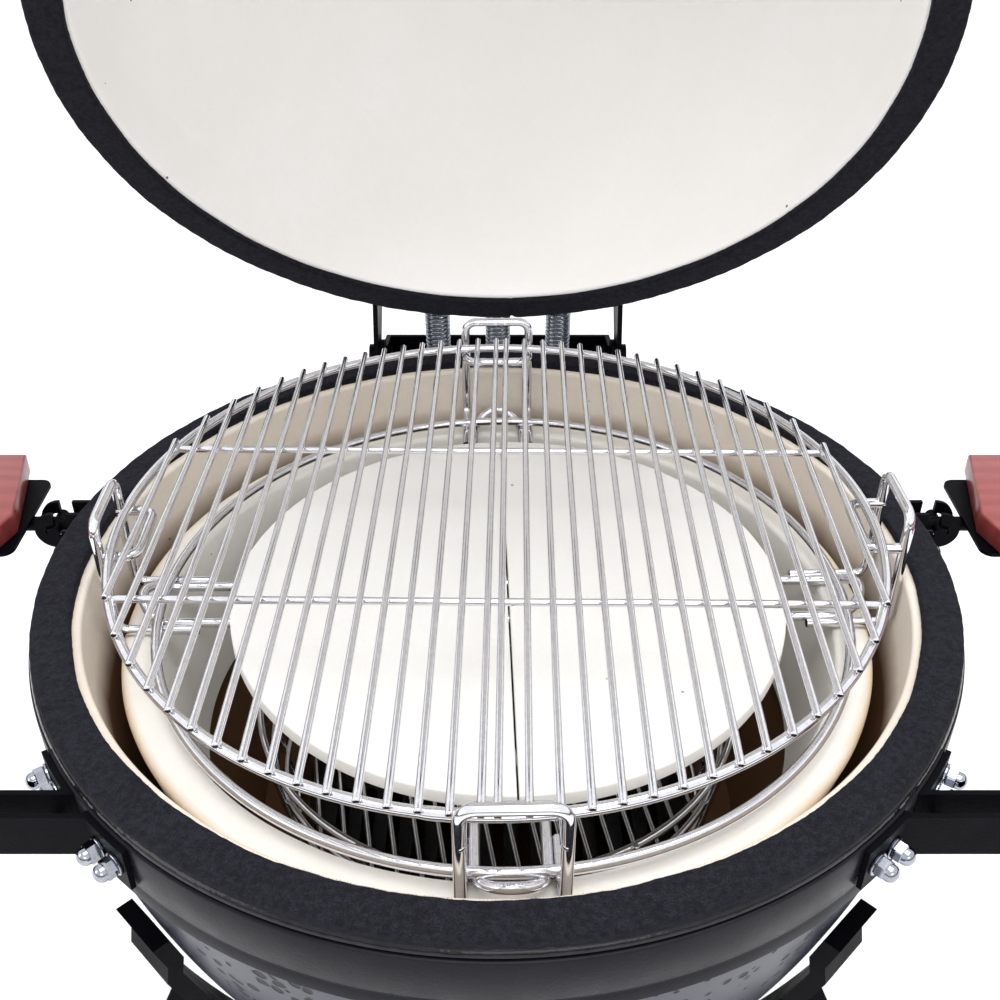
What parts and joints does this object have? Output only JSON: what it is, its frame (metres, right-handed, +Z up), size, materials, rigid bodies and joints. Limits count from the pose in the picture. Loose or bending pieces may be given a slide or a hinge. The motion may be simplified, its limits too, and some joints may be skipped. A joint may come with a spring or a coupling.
{
  "type": "kamado ceramic grill",
  "caption": "Egg-shaped ceramic charcoal grill on a wheeled cart, with sprung lid, wire grates, heat deflectors and folding side shelves.",
  "frame": {"origin": "on the floor, at the middle of the bounding box of the whole grill with its lid open", "axes": "+X to the cook's right, +Y away from the cook towards the hinge, +Z up"},
  "size_m": [1.244, 0.7062, 1.3246],
  "materials": {
    "black_glaze": "gloss",
    "felt": "matte",
    "band_steel": "satin",
    "black_steel": "satin",
    "white_ceramic": "matte",
    "fire_ceramic": "matte",
    "stainless": "satin",
    "chrome": "polished",
    "zinc": "satin",
    "cast_iron": "matte",
    "red_wood": "satin",
    "dial": "satin",
    "needle": "satin",
    "tyre": "matte",
    "foot_felt": "matte"
  },
  "bodies": {
    "base": {"base_shell": "black_glaze", "base_gasket": "felt", "base_band": "band_steel", "band_clamp_bolts": "zinc", "fire_box": "white_ceramic", "fire_ring": "fire_ceramic", "charcoal_grate": "cast_iron", "draft_frame": "stainless", "hinge_bracket": "black_steel", "hinge_pins": "black_steel", "spring_left": "zinc", "spring_centre": "zinc", "spring_right": "zinc", "shelf_brackets_left": "black_steel", "shelf_brackets_right": "black_steel", "acorn_nuts": "chrome", "cart_ring": "black_steel", "cart_legs_left": "black_steel", "cart_legs_right": "black_steel", "cart_brace": "black_steel", "foot_pads": "foot_felt"},
    "lid": {"lid_shell": "black_glaze", "lid_gasket": "felt", "lid_band": "band_steel", "hinge_yoke": "black_steel", "handle_brackets": "black_steel", "handle_grip": "red_wood", "handle_bolts": "chrome", "thermometer_case": "stainless", "thermometer_dial": "dial", "vent_collar": "cast_iron"},
    "gauge_needle": {"thermometer_needle": "needle"},
    "vent_cap": {"vent_cap": "cast_iron", "vent_knob": "black_steel"},
    "vent_disc": {"vent_disc": "cast_iron"},
    "draft_door": {"draft_door": "stainless"},
    "draft_screen": {"draft_screen": "stainless"},
    "charcoal_basket": {"charcoal_basket": "stainless"},
    "rack": {"heat_rack": "stainless", "deflector_left": "fire_ceramic", "deflector_right": "fire_ceramic"},
    "cooking_grate": {"cooking_grate": "stainless"},
    "left_shelf": {"shelf_frame_left": "black_steel", "slat_left_rear": "red_wood", "slat_left_middle": "red_wood", "slat_left_front": "red_wood"},
    "right_shelf": {"shelf_frame_right": "black_steel", "slat_right_rear": "red_wood", "slat_right_middle": "red_wood", "slat_right_front": "red_wood"},
    "rear_right_fork": {"caster_fork_rear_right": "zinc"},
    "rear_right_wheel": {"caster_wheel_rear_right": "tyre"},
    "rear_left_fork": {"caster_fork_rear_left": "zinc"},
    "rear_left_wheel": {"caster_wheel_rear_left": "tyre"},
    "front_left_fork": {"caster_fork_front_left": "zinc"},
    "front_left_wheel": {"caster_wheel_front_left": "tyre"},
    "front_right_fork": {"caster_fork_front_right": "zinc"},
    "front_right_wheel": {"caster_wheel_front_right": "tyre"},
    "front_left_brake": {"caster_brake_front_left": "zinc"},
    "front_right_brake": {"caster_brake_front_right": "zinc"}
  },
  "joints": [
    {"name": "lid_hinge", "type": "hinge", "parent": "base", "child": "lid", "pos_m": [0, 0.23021, 0.7455], "axis": [1, 0, 0], "range_deg": [0, 57.6], "stiffness_Nm_per_rad": 40, "springref_deg": -34.38, "deforming": ["spring_left", "spring_centre", "spring_right"]},
    {"name": "gauge_needle_turn", "type": "hinge", "parent": "lid", "child": "gauge_needle", "pos_m": [0, 0.0687, 1.28256], "axis": [0, -0.0279, -0.9996], "range_deg": [0, 270]},
    {"name": "vent_cap_swing", "type": "hinge", "parent": "lid", "child": "vent_cap", "pos_m": [0.068, 0.29059, 1.14268], "axis": [0, 0.8443, 0.5358], "range_deg": [0, 85]},
    {"name": "vent_disc_turn", "type": "hinge", "parent": "vent_cap", "child": "vent_disc", "pos_m": [0, 0.29059, 1.14268], "axis": [0, 0.8443, 0.5358], "range_deg": [0, 36]},
    {"name": "draft_door_slide", "type": "hinge", "parent": "base", "child": "draft_door", "pos_m": [0, -0.07279, 0.4545], "axis": [0, 0, 1], "range_deg": [0, 22.5]},
    {"name": "draft_screen_slide", "type": "hinge", "parent": "base", "child": "draft_screen", "pos_m": [0, -0.07279, 0.4545], "axis": [0, 0, -1], "range_deg": [0, 22.5]},
    {"name": "charcoal_basket_lift", "type": "slide", "parent": "base", "child": "charcoal_basket", "axis": [0, 0, -1], "range_m": [-0.05, 0]},
    {"name": "rack_lift", "type": "slide", "parent": "base", "child": "rack", "axis": [0, 0, -1], "range_m": [-0.26, 0]},
    {"name": "cooking_grate_lift", "type": "slide", "parent": "rack", "child": "cooking_grate", "axis": [0, 0, -1], "range_m": [-0.04, 0]},
    {"name": "left_shelf_fold", "type": "hinge", "parent": "base", "child": "left_shelf", "pos_m": [-0.3, -0.13379, 0.738], "axis": [0, -1, 0], "range_deg": [0, 90]},
    {"name": "right_shelf_fold", "type": "hinge", "parent": "base", "child": "right_shelf", "pos_m": [0.3, -0.13379, 0.738], "axis": [0, 1, 0], "range_deg": [0, 90]},
    {"name": "rear_right_swivel", "type": "hinge", "parent": "base", "child": "rear_right_fork", "pos_m": [0.21213, 0.13935, 0.125], "axis": [0, 0, 1], "continuous": true},
    {"name": "rear_right_roll", "type": "hinge", "parent": "rear_right_fork", "child": "rear_right_wheel", "pos_m": [0.23413, 0.13935, 0.0375], "axis": [0, -1, 0], "continuous": true},
    {"name": "rear_left_swivel", "type": "hinge", "parent": "base", "child": "rear_left_fork", "pos_m": [-0.21213, 0.13935, 0.125], "axis": [0, 0, 1], "continuous": true},
    {"name": "rear_left_roll", "type": "hinge", "parent": "rear_left_fork", "child": "rear_left_wheel", "pos_m": [-0.23413, 0.13935, 0.0375], "axis": [0, 1, 0], "continuous": true},
    {"name": "front_left_swivel", "type": "hinge", "parent": "base", "child": "front_left_fork", "pos_m": [-0.21213, -0.28492, 0.125], "axis": [0, 0, 1], "continuous": true},
    {"name": "front_left_roll", "type": "hinge", "parent": "front_left_fork", "child": "front_left_wheel", "pos_m": [-0.23119, -0.27392, 0.0375], "axis": [0.5, 0.866, 0], "continuous": true},
    {"name": "front_left_brake_press", "type": "hinge", "parent": "front_left_fork", "child": "front_left_brake", "pos_m": [-0.24504, -0.26592, 0.088], "axis": [-0.5, -0.866, 0], "range_deg": [0, 12]},
    {"name": "front_right_swivel", "type": "hinge", "parent": "base", "child": "front_right_fork", "pos_m": [0.21213, -0.28492, 0.125], "axis": [0, 0, 1], "continuous": true},
    {"name": "front_right_roll", "type": "hinge", "parent": "front_right_fork", "child": "front_right_wheel", "pos_m": [0.23119, -0.27392, 0.0375], "axis": [0.5, -0.866, 0], "continuous": true},
    {"name": "front_right_brake_press", "type": "hinge", "parent": "front_right_fork", "child": "front_right_brake", "pos_m": [0.24504, -0.26592, 0.088], "axis": [-0.5, 0.866, 0], "range_deg": [0, 12]}
  ]
}
